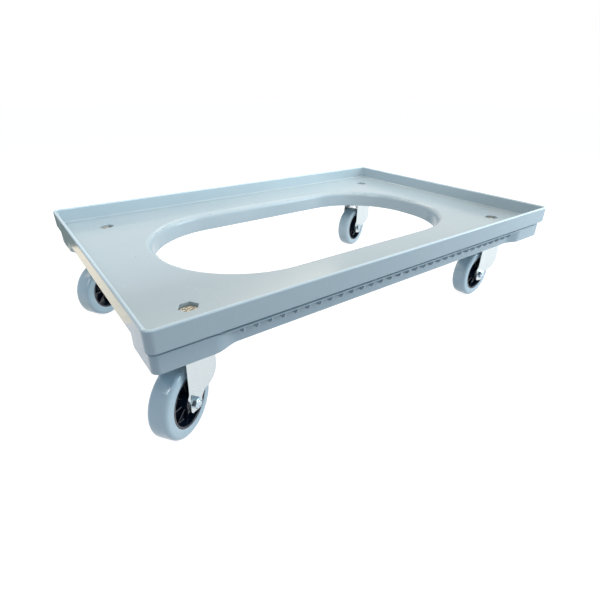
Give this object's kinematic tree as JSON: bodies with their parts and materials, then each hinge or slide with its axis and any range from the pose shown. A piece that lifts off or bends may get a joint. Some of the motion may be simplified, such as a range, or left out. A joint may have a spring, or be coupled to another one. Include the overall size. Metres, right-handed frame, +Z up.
{
  "type": "crate dolly",
  "caption": "Open-deck moulded dolly with a raised rim that locates a crate, on swivel castors with grey rubber wheels and zinc-plated forks.",
  "frame": {"origin": "on the floor, below the middle of the deck", "axes": "+X along the deck's long side to the right, +Y to the rear, +Z up; the castors rest turned as in the picture"},
  "size_m": [0.616, 0.41, 0.1405],
  "materials": {
    "grey_abs": "satin silver-grey moulded ABS",
    "zinc_sheet": "bright zinc-plated pressed steel",
    "zinc_hardware": "zinc-plated bolts and nuts",
    "bearing_steel": "bare bright steel",
    "black_pp": "glossy black polypropylene",
    "grey_rubber": "smooth blue-grey elastic rubber"
  },
  "bodies": {
    "deck": {"deck_frame": "grey_abs", "castor_bolts": "zinc_hardware", "castor_nuts": "zinc_hardware", "front_left_swivel_head": "zinc_sheet", "front_left_lower_race": "zinc_sheet", "front_left_kingpin": "zinc_hardware", "front_right_swivel_head": "zinc_sheet", "front_right_lower_race": "zinc_sheet", "front_right_kingpin": "zinc_hardware", "rear_right_swivel_head": "zinc_sheet", "rear_right_lower_race": "zinc_sheet", "rear_right_kingpin": "zinc_hardware", "rear_left_swivel_head": "zinc_sheet", "rear_left_lower_race": "zinc_sheet", "rear_left_kingpin": "zinc_hardware"},
    "front_left_castor": {"front_left_fork": "zinc_sheet", "front_left_upper_balls": "bearing_steel", "front_left_lower_balls": "bearing_steel", "front_left_axle_bolt": "zinc_hardware", "front_left_axle_nut": "zinc_hardware", "front_left_axle_tube": "bearing_steel"},
    "front_left_wheel": {"front_left_wheel_hub": "black_pp", "front_left_tyre": "grey_rubber"},
    "front_right_castor": {"front_right_fork": "zinc_sheet", "front_right_upper_balls": "bearing_steel", "front_right_lower_balls": "bearing_steel", "front_right_axle_bolt": "zinc_hardware", "front_right_axle_nut": "zinc_hardware", "front_right_axle_tube": "bearing_steel"},
    "front_right_wheel": {"front_right_wheel_hub": "black_pp", "front_right_tyre": "grey_rubber"},
    "rear_right_castor": {"rear_right_fork": "zinc_sheet", "rear_right_upper_balls": "bearing_steel", "rear_right_lower_balls": "bearing_steel", "rear_right_axle_bolt": "zinc_hardware", "rear_right_axle_nut": "zinc_hardware", "rear_right_axle_tube": "bearing_steel"},
    "rear_right_wheel": {"rear_right_wheel_hub": "black_pp", "rear_right_tyre": "grey_rubber"},
    "rear_left_castor": {"rear_left_fork": "zinc_sheet", "rear_left_upper_balls": "bearing_steel", "rear_left_lower_balls": "bearing_steel", "rear_left_axle_bolt": "zinc_hardware", "rear_left_axle_nut": "zinc_hardware", "rear_left_axle_tube": "bearing_steel"},
    "rear_left_wheel": {"rear_left_wheel_hub": "black_pp", "rear_left_tyre": "grey_rubber"}
  },
  "joints": [
    {"name": "front_left_swivel", "type": "hinge", "parent": "deck", "child": "front_left_castor", "pos_m": [-0.249, -0.1485, 0.0875], "axis": [0, 0, 1], "continuous": true},
    {"name": "front_left_roll", "type": "hinge", "parent": "front_left_castor", "child": "front_left_wheel", "pos_m": [-0.2756, -0.16804, 0.0375], "axis": [0.592, -0.8059, 0], "continuous": true},
    {"name": "front_right_swivel", "type": "hinge", "parent": "deck", "child": "front_right_castor", "pos_m": [0.249, -0.1485, 0.0875], "axis": [0, 0, 1], "continuous": true},
    {"name": "front_right_roll", "type": "hinge", "parent": "front_right_castor", "child": "front_right_wheel", "pos_m": [0.2161, -0.15103, 0.0375], "axis": [0.0767, -0.9971, 0], "continuous": true},
    {"name": "rear_right_swivel", "type": "hinge", "parent": "deck", "child": "rear_right_castor", "pos_m": [0.249, 0.1485, 0.0875], "axis": [0, 0, 1], "continuous": true},
    {"name": "rear_right_roll", "type": "hinge", "parent": "rear_right_castor", "child": "rear_right_wheel", "pos_m": [0.21774, 0.13792, 0.0375], "axis": [0.3206, -0.9472, 0], "continuous": true},
    {"name": "rear_left_swivel", "type": "hinge", "parent": "deck", "child": "rear_left_castor", "pos_m": [-0.249, 0.1485, 0.0875], "axis": [0, 0, 1], "continuous": true},
    {"name": "rear_left_roll", "type": "hinge", "parent": "rear_left_castor", "child": "rear_left_wheel", "pos_m": [-0.27587, 0.12934, 0.0375], "axis": [0.5807, -0.8141, 0], "continuous": true}
  ]
}
